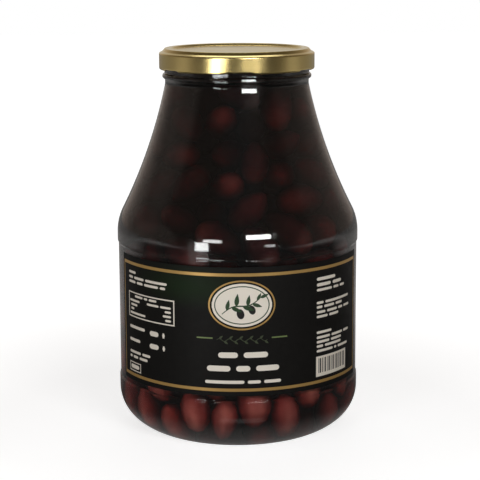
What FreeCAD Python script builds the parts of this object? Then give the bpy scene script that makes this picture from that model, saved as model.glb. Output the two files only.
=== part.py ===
import FreeCAD, Part
import math
import os

# A large round glass jar with a gold twist-off cap, a wrap-round label and a filling of olives
# in brine. Sizes are millimetres and degrees. The jar's axis is +Z, it stands on z = 0 and the
# middle of its label faces -Y.

# Glass body, from the base upwards
body_diameter = 145.8        # over the two contact bands, the widest part
glass_wall = 3.6
punt_height = 5.0            # rise of the hollow under the base
bearing_width = 2.5          # flat ring that the jar stands on
heel_lower_radius = 32.7     # heel, next to the bearing ring
heel_upper_radius = 24.0     # heel, next to the side
heel_turn = 47.7             # slope at which the two heel arcs meet, from upright
lower_band = 7.0             # height of the contact band under the label panel
upper_band = 4.8             # height of the contact band above the label panel
panel_recess = 0.6           # depth of the label panel behind the bands
panel_ease = 1.0             # height of the sloping step into the panel
shoulder_radius = 31.2       # outward curve at the top of the side
shoulder_rise = 89.0         # height from the upper band to the root of the neck
sweep_radius = 308.0         # hollow curve from the shoulder up to the neck

# Neck and finish, which is the part of the glass that the cap closes on
finish_diameter = 86.6
finish_rise = 16.0           # from the middle of the bead to the rim
neck_undercut = 0.3          # how far the neck lies inside the finish
bead_reach = 1.3             # how far the bead stands out of the finish
bead_round = 1.75            # radius of the bead's section
bead_rise = 4.7              # from the root of the neck to the middle of the bead
lip_round = 1.1              # rounding of the rim, inside and outside

# Cap, of thin sheet metal
cap_room = 2.8               # between the finish and the inside of the skirt
cap_height = 12.5
cap_sheet = 0.3
cap_ridge_overlap = 0.3      # how far the ridge's flat top reaches inside the mouth
cap_ridge_cover = 0.3        # how far that flat stops short of the finish's outside
cap_panel_depth = 1.2        # depth of the top panel inside the ridge
cap_step_depth = 1.7         # drop from the ridge to the step
cap_shoulder_depth = 2.7     # drop from the ridge to the top of the skirt
cap_step_reach = 1.4         # how far the step lies outside the ridge
cap_curl_round = 1.1         # radius of the rolled edge
cap_corner = 0.9             # rounding of the pressed corners
skirt_join = 3.2             # height of the skirt's shaped bottom edge

# Lugs of the cap and the sloping ridges of the glass that they catch under
lug_count = 6
lug_width = 15.0             # along the rolled edge
lug_raise = 0.9              # height of a lug over the rolled edge on each side of it
lug_thickness = 1.3
lug_clearance = 0.3          # between a lug and the ridge over it, and round the finish
ridge_length = 30.0
ridge_height = 1.8
ridge_depth = 1.2            # how far a ridge stands out of the finish
ridge_slope = 1.5            # its lead, from level

# Label
label_width = 181.0          # along the curve
label_height = 75.6
label_thickness = 0.15
label_gap = 0.05             # paste between the glass and the paper
label_margin = 3.0           # bare panel above and below the label

# Filling
fill_drop = 5.0              # from the rim down to the brine's level
filling_gap = 0.1            # clearance between the glass and the filling

# Worked out from the sizes above
body_radius = body_diameter / 2
panel_radius = body_radius - panel_recess
finish_radius = finish_diameter / 2
neck_radius = finish_radius - neck_undercut
cap_radius = finish_radius + cap_room + cap_sheet
heel_angle = math.radians(heel_turn)
heel_height = heel_upper_radius * math.sin(heel_angle) + heel_lower_radius * (1 - math.sin(heel_angle))
heel_reach = heel_upper_radius * (1 - math.cos(heel_angle)) + heel_lower_radius * math.cos(heel_angle)
bearing_radius = body_radius - heel_reach
punt_radius = bearing_radius - bearing_width
punt_ball = (punt_radius ** 2 + punt_height ** 2) / (2 * punt_height)
panel_low = heel_height + lower_band + panel_ease
label_low = panel_low + label_margin
panel_high = label_low + label_height + label_margin
shoulder_height = panel_high + panel_ease + upper_band
neck_height = shoulder_height + shoulder_rise
bead_height = neck_height + bead_rise
rim_height = bead_height + finish_rise
fill_level = rim_height - fill_drop
cap_top = rim_height + cap_sheet
cap_bottom = cap_top - cap_height
join_height = cap_bottom + skirt_join

UP = FreeCAD.Vector(0, 0, 1)
ORIGIN = FreeCAD.Vector(0, 0, 0)
FRONT = -90                  # direction of the label's middle, counted from +X


# ---- Outlines in the half plane of radius and height ------------------------------------------

def at(radius, height):
    """The point of the half plane at that radius and height."""
    return FreeCAD.Vector(radius, 0, height)


def on_circle(centre, radius, angle):
    """The point of a circle at an angle counted up from the outward direction."""
    turn = math.radians(angle)
    return centre + at(radius * math.cos(turn), radius * math.sin(turn))


def arc(centre, radius, first, last):
    """The arc between two angles of a circle."""
    middle = (first + last) / 2
    points = [on_circle(centre, radius, angle) for angle in (first, middle, last)]
    return Part.Arc(*points).toShape()


def chain(*points):
    """Straight edges from point to point."""
    return [Part.makeLine(start, end) for start, end in zip(points, points[1:])]


def turned(edges, angle=360):
    """The solid that a closed outline makes when it is turned about the axis."""
    wire = Part.Wire(Part.__sortEdges__(edges))
    return Part.Face(wire).revolve(ORIGIN, UP, angle)


def sector(edges, angle, middle):
    """A part turn of an outline, with its middle in the given direction."""
    solid = turned(edges, angle)
    solid.rotate(ORIGIN, UP, middle - angle / 2)
    return solid


def rounded(points, radii):
    """Edges through the points, with an arc of its own radius at each point between the ends.

    An arc of radius q in a corner of angle w starts q / tan(w / 2) before the corner.
    """
    edges = []
    start = points[0]
    for before, corner, after, radius in zip(points, points[1:], points[2:], radii):
        back = (before - corner).normalize()
        ahead = (after - corner).normalize()
        half = back.getAngle(ahead) / 2
        reach = radius / math.tan(half)
        middle = (back + ahead).normalize() * (radius / math.sin(half) - radius)
        edges.append(Part.makeLine(start, corner + back * reach))
        edges.append(Part.Arc(corner + back * reach, corner + middle, corner + ahead * reach).toShape())
        start = corner + ahead * reach
    edges.append(Part.makeLine(start, points[-1]))
    return edges


def beside(points, radii, gap):
    """The outline that runs beside another one, to its right, with corners about the same centres."""
    sides = []
    for start, end in zip(points, points[1:]):
        run = (end - start).normalize()
        sides.append(at(run.z, -run.x))
    moved = [points[0] + sides[0] * gap]
    tightened = []
    for corner, radius, one, two in zip(points[1:], radii, sides, sides[1:]):
        moved.append(corner + (one + two) * (gap / (1 + one.dot(two))))
        bends_right = one.x * two.z - one.z * two.x < 0
        tightened.append(radius - gap if bends_right else radius + gap)
    moved.append(points[-1] + sides[-1] * gap)
    return moved, tightened


# ---- The jar's wall ---------------------------------------------------------------------------

def sweep_of_neck():
    """Centre of the hollow curve between shoulder and neck, and the wall's slopes at its ends.

    The centre lies one radius from the root of the neck and both radii from the centre of the
    shoulder's arc, so that the curve leaves that arc without a corner.
    """
    shoulder = at(body_radius - shoulder_radius, shoulder_height)
    root = at(neck_radius, neck_height)
    reach = shoulder_radius + sweep_radius
    span = (root - shoulder).Length
    along = (span ** 2 + reach ** 2 - sweep_radius ** 2) / (2 * span)
    aside = math.sqrt(reach ** 2 - along ** 2)
    run = (root - shoulder).normalize()
    centre = shoulder + run * along + at(run.z, -run.x) * aside
    low = math.atan2(centre.z - shoulder.z, centre.x - shoulder.x)
    high = math.atan2(centre.z - root.z, centre.x - root.x)
    return centre, math.degrees(low), math.degrees(high)


sweep_centre, shoulder_turn, neck_slope = sweep_of_neck()


def base(inset):
    """The punt and the ring round it, moved inset into the glass."""
    ball = punt_ball + inset
    centre = at(0, punt_height - punt_ball)
    foot = math.degrees(math.asin((inset - centre.z) / ball))
    ring = chain(on_circle(centre, ball, foot), at(bearing_radius, inset))
    return [arc(centre, ball, 90, foot)] + ring


def body(inset, side):
    """The wall from the bearing ring to the root of the neck, moved inset into the glass."""
    low_centre = at(bearing_radius, heel_lower_radius)
    high_centre = at(body_radius - heel_upper_radius, heel_height)
    shoulder_centre = at(body_radius - shoulder_radius, shoulder_height)
    edges = [
        arc(low_centre, heel_lower_radius - inset, -90, -heel_turn),
        arc(high_centre, heel_upper_radius - inset, -heel_turn, 0),
        arc(shoulder_centre, shoulder_radius - inset, 0, shoulder_turn),
        arc(sweep_centre, sweep_radius + inset, 180 + neck_slope, 180 + shoulder_turn),
    ]
    return edges + side


def inner_wall(inset):
    """The whole inner outline, from the axis to the root of the neck, and that last point."""
    side = chain(at(body_radius - inset, heel_height), at(body_radius - inset, shoulder_height))
    root = on_circle(sweep_centre, sweep_radius + inset, 180 + neck_slope)
    return base(inset) + body(inset, side), root


def jar_section():
    """The closed outline of the glass: base, side, neck, bead, rim and the inside."""
    side = chain(
        at(body_radius, heel_height),
        at(body_radius, panel_low - panel_ease),
        at(panel_radius, panel_low),
        at(panel_radius, panel_high),
        at(body_radius, panel_high + panel_ease),
        at(body_radius, shoulder_height),
    )
    inside, root = inner_wall(glass_wall)
    bead_centre = at(finish_radius + bead_reach - bead_round, bead_height)
    below = -math.degrees(math.acos((neck_radius - bead_centre.x) / bead_round))
    above = math.degrees(math.acos((finish_radius - bead_centre.x) / bead_round))
    outer_lip = at(finish_radius - lip_round, rim_height - lip_round)
    inner_lip = at(root.x + lip_round, rim_height - lip_round)
    neck = chain(at(neck_radius, neck_height), on_circle(bead_centre, bead_round, below))
    finish = chain(on_circle(bead_centre, bead_round, above), at(finish_radius, outer_lip.z))
    rim = chain(at(outer_lip.x, rim_height), at(inner_lip.x, rim_height))
    mouth = chain(at(root.x, inner_lip.z), root)
    rounds = [
        arc(bead_centre, bead_round, below, above),
        arc(outer_lip, lip_round, 0, 90),
        arc(inner_lip, lip_round, 90, 180),
    ]
    core = chain(at(0, punt_height), at(0, punt_height + glass_wall))
    return base(0) + body(0, side) + neck + finish + rim + mouth + rounds + inside + core


def finish_ridge(middle):
    """One sloping ridge of the finish, with its root sunk in the glass."""
    root = finish_radius - ridge_depth
    crest = finish_radius + ridge_depth
    lug_top = cap_bottom + lug_raise + lug_thickness
    drop = ridge_length / 2 * math.sin(math.radians(ridge_slope))
    foot = lug_top + lug_clearance + drop
    half = ridge_height / 4
    outline = [
        at(root, foot),
        at(crest - half, foot),
        at(crest, foot + half),
        at(crest, foot + ridge_height - half),
        at(crest - half, foot + ridge_height),
        at(root, foot + ridge_height),
    ]
    angle = math.degrees(ridge_length / crest)
    ridge = sector(chain(*outline, outline[0]), angle, 0)
    ridge.rotate(at(0, foot), FreeCAD.Vector(1, 0, 0), ridge_slope)
    ridge.rotate(ORIGIN, UP, middle)
    return ridge


def lug_directions():
    """Directions of the lugs, the first at the front."""
    return [FRONT + 360 * index / lug_count for index in range(lug_count)]


def make_jar():
    """The glass, turned in one piece, with the ridges that hold the cap."""
    ridges = [finish_ridge(direction) for direction in lug_directions()]
    return turned(jar_section()).multiFuse(ridges)


# ---- The cap ----------------------------------------------------------------------------------

def make_crown():
    """Top panel, ridge, step and skirt of the cap, down to its shaped bottom edge."""
    mouth_radius = inner_wall(glass_wall)[1].x
    ridge_inside = mouth_radius - cap_ridge_overlap
    ridge_outside = finish_radius - cap_ridge_cover
    step = at(ridge_outside + cap_step_reach, cap_top - cap_step_depth)
    outline = [
        at(0, cap_top - cap_panel_depth),
        at(ridge_inside - cap_panel_depth, cap_top - cap_panel_depth),
        at(ridge_inside, cap_top),
        at(ridge_outside, cap_top),
        step,
        at(cap_radius, cap_top - cap_shoulder_depth),
        at(cap_radius, join_height),
    ]
    radii = [cap_corner] * 5
    under, under_radii = beside(outline, radii, cap_sheet)
    ends = chain(outline[0], under[0]) + chain(outline[-1], under[-1])
    return turned(rounded(outline, radii) + rounded(under, under_radii) + ends)


def curl_section():
    """The rolled edge: the sheet goes down the outside and closes on itself inside."""
    inner = cap_radius - cap_sheet
    centre = at(cap_radius - cap_curl_round, cap_bottom + cap_curl_round)
    close = math.degrees(math.acos((inner - centre.x) / cap_curl_round))
    skirt = chain(at(cap_radius, centre.z), at(cap_radius, join_height), at(inner, join_height))
    back = chain(at(inner, join_height), on_circle(centre, cap_curl_round, close))
    return skirt + back + [arc(centre, cap_curl_round, close - 360, 0)]


def lug_section():
    """A lug: the rolled edge is pressed flat and pushed up and inwards over the finish."""
    inner = cap_radius - cap_sheet
    low = cap_bottom + lug_raise
    high = low + lug_thickness
    tip = finish_radius + lug_clearance
    half = lug_thickness / 2
    nose = arc(at(tip + half, low + half), half, 90, 270)
    heel = arc(at(cap_radius - half, low + half), half, -90, 0)
    bottom = chain(at(tip + half, low), at(cap_radius - half, low))
    outside = chain(at(cap_radius, low + half), at(cap_radius, join_height), at(inner, join_height))
    inside = chain(at(inner, join_height), at(inner, high), at(tip + half, high))
    return [nose, heel] + bottom + outside + inside


def make_lid():
    """The crown with its rolled edge, which the lugs interrupt."""
    pitch = 360 / lug_count
    lug_angle = math.degrees(lug_width / cap_radius)
    edge = []
    for direction in lug_directions():
        edge.append(sector(lug_section(), lug_angle, direction))
        edge.append(sector(curl_section(), pitch - lug_angle, direction + pitch / 2))
    return make_crown().multiFuse(edge).removeSplitter()


# ---- Label and filling ------------------------------------------------------------------------

def make_label():
    """The paper label, which goes most of the way round the recessed panel."""
    inner = panel_radius + label_gap
    outer = inner + label_thickness
    high = label_low + label_height
    corners = [at(inner, label_low), at(outer, label_low), at(outer, high), at(inner, high)]
    angle = math.degrees(label_width / outer)
    return sector(chain(*corners, corners[0]), angle, FRONT)


def make_filling():
    """Olives and brine together: the inside of the jar up to the brine's level."""
    edges, root = inner_wall(glass_wall + filling_gap)
    floor = at(0, punt_height + glass_wall + filling_gap)
    closing = chain(root, at(root.x, rim_height), at(0, rim_height), floor)
    return turned(edges + closing).common(Part.makeCylinder(body_radius, fill_level))


# ---- One file for each piece ------------------------------------------------------------------

pieces = {
    "jar_glass": make_jar(),
    "lid": make_lid(),
    "label": make_label(),
    "olives_in_brine": make_filling(),
}
os.makedirs("parts", exist_ok=True)
for name, shape in pieces.items():
    shape.exportStep("parts/" + name + ".step")
    print(name, len(shape.Solids), "solid, valid", shape.isValid(), round(shape.Volume / 1000, 1), "cm3")
print("height", round(cap_top, 1), "mm, brine up to", round(fill_level, 1), "mm")
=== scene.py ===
# %% [markdown]
# # A glass jar of kalamata olives
#
# The real thing is a big catering jar: a heavy clear glass body turned round one axis, a gold
# twist-off cap, a dark paper label across its front, and a few hundred olives pressed
# together in a red-brown brine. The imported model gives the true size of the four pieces. This
# lesson dresses them: it turns smooth glass and metal from profiles, packs the olives so that
# they touch without passing through each other, and lays the print on the label as thin shapes.
#
# Nearly everything is a surface of revolution: a profile in the plane of radius and height,
# carried round the axis with numpy.

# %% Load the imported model
import math

import bpy
import numpy as np
from mathutils import Matrix, Vector


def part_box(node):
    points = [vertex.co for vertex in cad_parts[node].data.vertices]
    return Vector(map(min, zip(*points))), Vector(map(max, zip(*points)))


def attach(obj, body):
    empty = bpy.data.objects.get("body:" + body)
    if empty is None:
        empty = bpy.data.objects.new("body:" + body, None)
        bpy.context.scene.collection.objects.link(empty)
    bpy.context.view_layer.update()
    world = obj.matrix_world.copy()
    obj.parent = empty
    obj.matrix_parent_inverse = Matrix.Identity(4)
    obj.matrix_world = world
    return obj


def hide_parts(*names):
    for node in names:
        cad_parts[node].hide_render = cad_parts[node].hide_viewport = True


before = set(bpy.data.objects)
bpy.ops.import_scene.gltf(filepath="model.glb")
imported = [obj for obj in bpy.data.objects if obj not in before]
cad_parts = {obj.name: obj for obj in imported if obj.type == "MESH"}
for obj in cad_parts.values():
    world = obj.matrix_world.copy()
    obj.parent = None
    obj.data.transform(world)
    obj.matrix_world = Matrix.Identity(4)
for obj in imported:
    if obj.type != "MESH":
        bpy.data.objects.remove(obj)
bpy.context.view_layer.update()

MM = 0.001
glass_low, glass_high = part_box("jar_glass")
cap_low, cap_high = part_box("lid")
label_low, label_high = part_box("label")
_, fill_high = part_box("olives_in_brine")
print("jar", [round(v / MM, 1) for v in glass_high - glass_low], "mm")
print("cap", round(cap_high.x * 2 / MM, 1), "mm across")

# %% [markdown]
# ## The jar's sizes
#
# The frame says how wide and how high each piece is. The curves between those heights are the
# glassworks' own: two arcs for the heel, two narrow bands that keep the label from rubbing, an
# outward arc for the shoulder and a long hollow one up to the neck. They are written down once,
# in millimetres, and every profile below is worked out from them.

# %% Sizes in millimetres
BODY_RADIUS = round(glass_high.y / MM, 1)
RIM = glass_high.z / MM
FILL_LEVEL = fill_high.z / MM
CAP_RADIUS = cap_high.y / MM
CAP_TOP = cap_high.z / MM
CAP_BOTTOM = cap_low.z / MM
LABEL_RADIUS = -label_low.y / MM
LABEL_BOTTOM = label_low.z / MM
LABEL_TOP = label_high.z / MM

WALL = 3.6
HEEL_LOWER, HEEL_UPPER, HEEL_TURN = 32.7, 24.0, 47.7
PUNT_HEIGHT, BEARING_WIDTH = 5.0, 2.5
LOWER_BAND, PANEL_EASE, PANEL_RECESS = 7.0, 1.0, 0.6
LABEL_MARGIN, UPPER_BAND = 3.0, 4.8
SHOULDER_RADIUS, SWEEP_RADIUS, SHOULDER_RISE = 31.2, 308.0, 89.0
BEAD_RISE, BEAD_ROUND, BEAD_REACH, NECK_UNDERCUT = 4.7, 1.75, 1.3, 0.3
FINISH_RADIUS, LIP_ROUND = 43.3, 1.1
PANEL_ROUND = 0.7
print("body radius", BODY_RADIUS, "rim", round(RIM, 2), "brine", round(FILL_LEVEL, 2))

# %% [markdown]
# ## Profiles from lines and arcs
#
# Smooth shading averages the normals of the faces at a point, so a long straight wall that ends
# at a rounded corner would be shaded along its whole length. A guard point just beside each
# corner keeps that blend short. The helper `rounded` gives a plain polyline its arcs and guards.

# %% Profile helpers
def arc_points(centre, radius, first, last, count=24):
    """Points on a circle: centre + radius * (cos a, sin a), with a running evenly from first to last."""
    angles = np.radians(np.linspace(first, last, count))
    return np.column_stack([centre[0] + radius * np.cos(angles), centre[1] + radius * np.sin(angles)])


def rounded(points, radii, count=8, guard=0.35):
    """A polyline whose corners are arcs.

    In a corner with half angle h, an arc of radius q begins q / tan h before the corner, and its
    centre lies q / sin h away along the line that halves the corner.
    """
    points = np.asarray(points, float)
    pieces = [points[:1]]
    for before, corner, after, radius in zip(points, points[1:], points[2:], radii):
        back = (before - corner) / np.linalg.norm(before - corner)
        ahead = (after - corner) / np.linalg.norm(after - corner)
        half = math.acos(float(np.clip(back @ ahead, -1, 1))) / 2
        centre = corner + (back + ahead) / np.linalg.norm(back + ahead) * radius / math.sin(half)
        start = corner + back * radius / math.tan(half)
        end = corner + ahead * radius / math.tan(half)
        share = np.linspace(0, 1, count)[:, None]
        spokes = (start - centre) * (1 - share) + (end - centre) * share
        spokes *= radius / np.linalg.norm(spokes, axis=1)[:, None]
        pieces.append(np.vstack([start + back * guard, centre + spokes, end + ahead * guard]))
    pieces.append(points[-1:])
    return np.vstack(pieces)


def normed(vectors):
    """Each row made one long."""
    return vectors / np.linalg.norm(vectors, axis=1)[:, None]


def left_normals(line):
    """At each point the direction across its two edges, to the left of the line's run."""
    run = np.gradient(line, axis=0)
    return normed(np.column_stack([-run[:, 1], run[:, 0]]))


# %% [markdown]
# ## Meshes from arrays
#
# A grid of points becomes quads by index arithmetic alone. A turned piece is such a grid that
# closes on itself round the axis. Where its profile starts or ends on the axis, the row shrinks
# to one point and a fan of triangles closes it: only a closed body of glass bends light properly.

# %% Mesh helpers
ON_AXIS = 1e-6


def grid_faces(rows, columns, closed):
    """Quads between neighbouring rows and columns; closed joins the last column to the first."""
    starts = np.arange(columns if closed else columns - 1)
    row, column = np.meshgrid(np.arange(rows - 1), starts, indexing="ij")
    beside = (column + 1) % columns
    corners = [row * columns + column, row * columns + beside, (row + 1) * columns + beside]
    corners.append((row + 1) * columns + column)
    return np.stack(corners, -1).reshape(-1, 4)


def piece(name, vertices, faces, material, slot, node=None, smooth=True):
    """A mesh object in metres from arrays in millimetres, riding on the jar's one body."""
    mesh = bpy.data.meshes.new(name)
    lists = [block.tolist() for block in faces] if isinstance(faces, list) else [faces.tolist()]
    mesh.from_pydata((np.asarray(vertices) * MM).tolist(), [], sum(lists, []))
    mesh.update()
    if smooth:
        mesh.shade_smooth()
    mesh.materials.append(material)
    made = bpy.data.objects.new(name, mesh)
    bpy.context.scene.collection.objects.link(made)
    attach(made, "root")
    if node:
        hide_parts(node)
    print(name, len(mesh.vertices), "points,", sum(len(p.vertices) - 2 for p in mesh.polygons), "triangles")
    return made


def turned(profile, steps=192, shaped=None):
    """A profile carried round the axis: (r, z) becomes (r sin a, -r cos a, z) for a full turn of a.

    Points of the profile on the axis become single points closed by triangle fans. shaped, where
    it is given, takes grids of radius, height and angle and returns the radius and height to use.
    """
    at_start, at_end = profile[0, 0] < ON_AXIS, profile[-1, 0] < ON_AXIS
    rings = profile[1 if at_start else 0:len(profile) - 1 if at_end else len(profile)]
    angles = np.linspace(0, 2 * math.pi, steps, endpoint=False)
    angle, height = np.meshgrid(angles, rings[:, 1])
    radius = np.meshgrid(angles, rings[:, 0])[1]
    if shaped:
        radius, height = shaped(radius, height, angle)
    grid = np.stack([radius * np.sin(angle), -radius * np.cos(angle), height], -1)
    vertices, faces = [grid.reshape(-1, 3)], [grid_faces(len(rings), steps, True)]
    across = np.arange(steps)
    beside = (across + 1) % steps
    count = len(rings) * steps
    if at_start:
        vertices.append([[0, 0, profile[0, 1]]])
        faces.append(np.column_stack([beside, across, np.full(steps, count)]))
        count += 1
    if at_end:
        last = (len(rings) - 1) * steps
        vertices.append([[0, 0, profile[-1, 1]]])
        faces.append(np.column_stack([last + across, last + beside, np.full(steps, count)]))
    return np.vstack(vertices), faces

# %% [markdown]
# ## The outline of the wall
#
# The side of a blown jar is drawn with tangent arcs, because glass flows. The same outline, moved
# into the glass, gives the inside of the wall and the skin of the brine. Working both out from
# one function keeps the wall even all the way up.

# %% Heights and the neck's hollow curve
heel = math.radians(HEEL_TURN)
HEEL_HEIGHT = HEEL_UPPER * math.sin(heel) + HEEL_LOWER * (1 - math.sin(heel))
BEARING = BODY_RADIUS - HEEL_UPPER * (1 - math.cos(heel)) - HEEL_LOWER * math.cos(heel)
PUNT_RADIUS = BEARING - BEARING_WIDTH
PUNT_BALL = (PUNT_RADIUS ** 2 + PUNT_HEIGHT ** 2) / (2 * PUNT_HEIGHT)
PANEL_LOW = HEEL_HEIGHT + LOWER_BAND + PANEL_EASE
PANEL_HIGH = LABEL_TOP + LABEL_MARGIN
PANEL_RADIUS = BODY_RADIUS - PANEL_RECESS
SHOULDER = PANEL_HIGH + PANEL_EASE + UPPER_BAND
NECK = SHOULDER + SHOULDER_RISE
BEAD = NECK + BEAD_RISE
NECK_RADIUS = FINISH_RADIUS - NECK_UNDERCUT


def sweep():
    """Centre of the hollow curve, and the wall's slopes in degrees where it starts and ends.

    The centre lies one sweep radius from the root of the neck, and both radii from the centre of
    the shoulder's arc, so that the two curves meet without a corner.
    """
    shoulder = np.array([BODY_RADIUS - SHOULDER_RADIUS, SHOULDER])
    root = np.array([NECK_RADIUS, NECK])
    reach = SHOULDER_RADIUS + SWEEP_RADIUS
    span = np.linalg.norm(root - shoulder)
    along = (span ** 2 + reach ** 2 - SWEEP_RADIUS ** 2) / (2 * span)
    run = (root - shoulder) / span
    centre = shoulder + run * along + np.array([run[1], -run[0]]) * math.sqrt(reach ** 2 - along ** 2)
    slopes = [math.degrees(math.atan2(*(centre - end)[::-1])) for end in (shoulder, root)]
    return centre, slopes[0], slopes[1]


SWEEP_CENTRE, SHOULDER_TURN, NECK_SLOPE = sweep()
print("heel", round(HEEL_HEIGHT, 1), "shoulder", round(SHOULDER, 1), "neck", round(NECK, 1))
print("shoulder turns", round(SHOULDER_TURN, 1), "degrees, neck leans", round(NECK_SLOPE, 1), "degrees")

# %% Outlines of the wall and the base


def base_line(inset):
    """From the axis over the hollow base to the ring the jar stands on, moved inset into the glass."""
    centre = [0, PUNT_HEIGHT - PUNT_BALL]
    foot = math.degrees(math.asin((inset - centre[1]) / (PUNT_BALL + inset)))
    return arc_points(centre, PUNT_BALL + inset, 90, foot, 14)


def wall_line(inset, side):
    """From the ring on the table up to the root of the neck, moved inset into the glass.

    side holds the points between the top of the heel and the start of the shoulder.
    """
    low = arc_points([BEARING, HEEL_LOWER], HEEL_LOWER - inset, -90, -HEEL_TURN, 22)
    high = arc_points([BODY_RADIUS - HEEL_UPPER, HEEL_HEIGHT], HEEL_UPPER - inset, -HEEL_TURN, 0, 20)
    centre = [BODY_RADIUS - SHOULDER_RADIUS, SHOULDER]
    shoulder = arc_points(centre, SHOULDER_RADIUS - inset, 0, SHOULDER_TURN, 16)
    hollow = arc_points(SWEEP_CENTRE, SWEEP_RADIUS + inset, 180 + SHOULDER_TURN, 180 + NECK_SLOPE, 30)
    return np.vstack([low, high[1:], side, shoulder, hollow[1:]])


def inside_line(inset):
    """The whole inside, from the axis to the root of the neck, moved inset into the glass."""
    heights = np.linspace(HEEL_HEIGHT, SHOULDER, 12)[1:-1]
    side = np.column_stack([np.full(10, BODY_RADIUS - inset), heights])
    return np.vstack([base_line(inset), wall_line(inset, side)])


inside = inside_line(WALL)
MOUTH_RADIUS = inside[-1, 0]
print("inside of the mouth", round(MOUTH_RADIUS, 2), "mm, floor", round(inside[0, 1], 2), "mm")

# %% [markdown]
# ## Glass
#
# Light bends on its way into glass and again on its way out, so the wall is real. One profile
# runs from the middle of the base up the outside, over the bead and the rim, and down the inside
# to the middle of the floor. The six sloping ridges that hold the cap are raised by moving its
# points outwards: a smooth bump in height, which climbs along the ridge, times one in angle.

# %% Glass body
RIDGE_LENGTH, RIDGE_DEPTH, RIDGE_SLOPE, RIDGE_HALF = 30.0, 1.2, 1.5, 1.0
RIDGE_FLAT, RIDGE_FADE, RIDGE_RISE, RIDGE_FOOT, RIDGE_LOWEST = 1.35, 1.5, 0.4, 0.9, 3
LUG_WIDTH, LUG_FADE, LUG_RAISE, LUG_THICK, LUG_ROOM = 15.0, 1.8, 0.9, 1.3, 0.3
RIDGE_HEIGHT = CAP_BOTTOM + LUG_RAISE + LUG_THICK + LUG_ROOM + RIDGE_RISE + RIDGE_FOOT
SIXTH = math.pi / 3


def outside_line():
    """Up the outside: bands, label panel, shoulder, hollow curve, bead, finish and rim."""
    step = [
        [BODY_RADIUS, HEEL_HEIGHT],
        [BODY_RADIUS, PANEL_LOW - PANEL_EASE],
        [PANEL_RADIUS, PANEL_LOW],
        [PANEL_RADIUS, PANEL_HIGH],
        [BODY_RADIUS, PANEL_HIGH + PANEL_EASE],
        [BODY_RADIUS, SHOULDER],
    ]
    side = rounded(step, [PANEL_ROUND] * 4)[1:-1]
    centre = [FINISH_RADIUS + BEAD_REACH - BEAD_ROUND, BEAD]
    below = -math.degrees(math.acos((NECK_RADIUS - centre[0]) / BEAD_ROUND))
    above = math.degrees(math.acos((FINISH_RADIUS - centre[0]) / BEAD_ROUND))
    bead = arc_points(centre, BEAD_ROUND, below, above, 20)
    lip = RIM - LIP_ROUND
    heights = np.linspace(bead[-1, 1], lip, 26)[1:-1]
    finish = np.column_stack([np.full(24, FINISH_RADIUS), heights])
    outer = arc_points([FINISH_RADIUS - LIP_ROUND, lip], LIP_ROUND, 0, 90, 8)
    inner = arc_points([MOUTH_RADIUS + LIP_ROUND, lip], LIP_ROUND, 90, 180, 8)
    return np.vstack([base_line(0), wall_line(0, side), bead, finish, outer, inner])


def from_nearest_sixth(angle):
    """The angle from the nearest of six places spaced evenly round the axis, from the front on."""
    return (angle + SIXTH / 2) % SIXTH - SIXTH / 2


def with_ridges(radius, height, angle):
    """Radius with the six ridges added: depth * bump(height) * bump(angle), climbing on the way."""
    along = from_nearest_sixth(angle) * FINISH_RADIUS
    up = (height - RIDGE_HEIGHT - along * math.tan(math.radians(RIDGE_SLOPE))) / RIDGE_HALF
    bump = np.clip(RIDGE_FLAT * (1 - up ** 2), 0, 1)
    bump = bump * np.clip((RIDGE_LENGTH / 2 - abs(along)) / RIDGE_FADE, 0, 1)
    on_finish = (radius >= FINISH_RADIUS - ON_AXIS) & (height > BEAD + RIDGE_LOWEST)
    return radius + RIDGE_DEPTH * bump * on_finish, height


glass_line = np.vstack([outside_line(), inside[::-1]])
print("glass profile", len(glass_line), "points")

# %% [markdown]
# ## Nodes from values
#
# A material is written like a sum: every helper below adds one node and gives back its result,
# and whatever takes a value takes such a result too. A number or a colour is set on the socket,
# and a result is linked to it.

# %% Node helpers


def feed(tree, node, values):
    """Each named input is linked to the socket it is given, or set to the plain value."""
    for name, value in values.items():
        if isinstance(value, bpy.types.NodeSocket):
            tree.links.new(value, node.inputs[name])
        else:
            node.inputs[name].default_value = value


def add_node(tree, kind, values=None, **settings):
    """A shader node with its settings and its inputs."""
    made = tree.nodes.new("ShaderNode" + kind)
    for name, value in settings.items():
        setattr(made, name, value)
    feed(tree, made, values or {})
    return made


def here(tree):
    """The object's own coordinates in metres."""
    return add_node(tree, "TexCoord").outputs["Object"]


def calc(tree, operation, *terms):
    """The result of one operation on results and plain numbers."""
    return add_node(tree, "Math", dict(enumerate(terms)), operation=operation).outputs["Value"]


def length(tree, vector):
    """How long a vector is."""
    made = add_node(tree, "VectorMath", {0: vector}, operation="LENGTH")
    return made.outputs["Value"]


def ease(tree, value, start, end, low=0.0, high=1.0, kind="LINEAR"):
    """From low, while the value is at start, to high, once it is at end."""
    span = {"Value": value, "From Min": start, "From Max": end, "To Min": low, "To Max": high}
    return add_node(tree, "MapRange", span, interpolation_type=kind).outputs["Result"]


def noise(tree, vector, scale, detail, roughness):
    """Soft noise round a half."""
    values = {"Vector": vector, "Scale": scale, "Detail": detail, "Roughness": roughness}
    return add_node(tree, "TexNoise", values).outputs["Fac"]


def blended(tree, share, first, second, kind="MIX"):
    """The first colour, with a share of the second mixed in or multiplied on."""
    made = add_node(tree, "Mix", data_type="RGBA", blend_type=kind, clamp_result=False)
    feed(tree, made, {"Factor": share, "A": first, "B": second})
    return made.outputs["Result"]


def mixed(tree, share, first, second):
    """The first shader, with a share of the second."""
    return add_node(tree, "MixShader", {"Fac": share, 1: first, 2: second}).outputs["Shader"]


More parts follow.
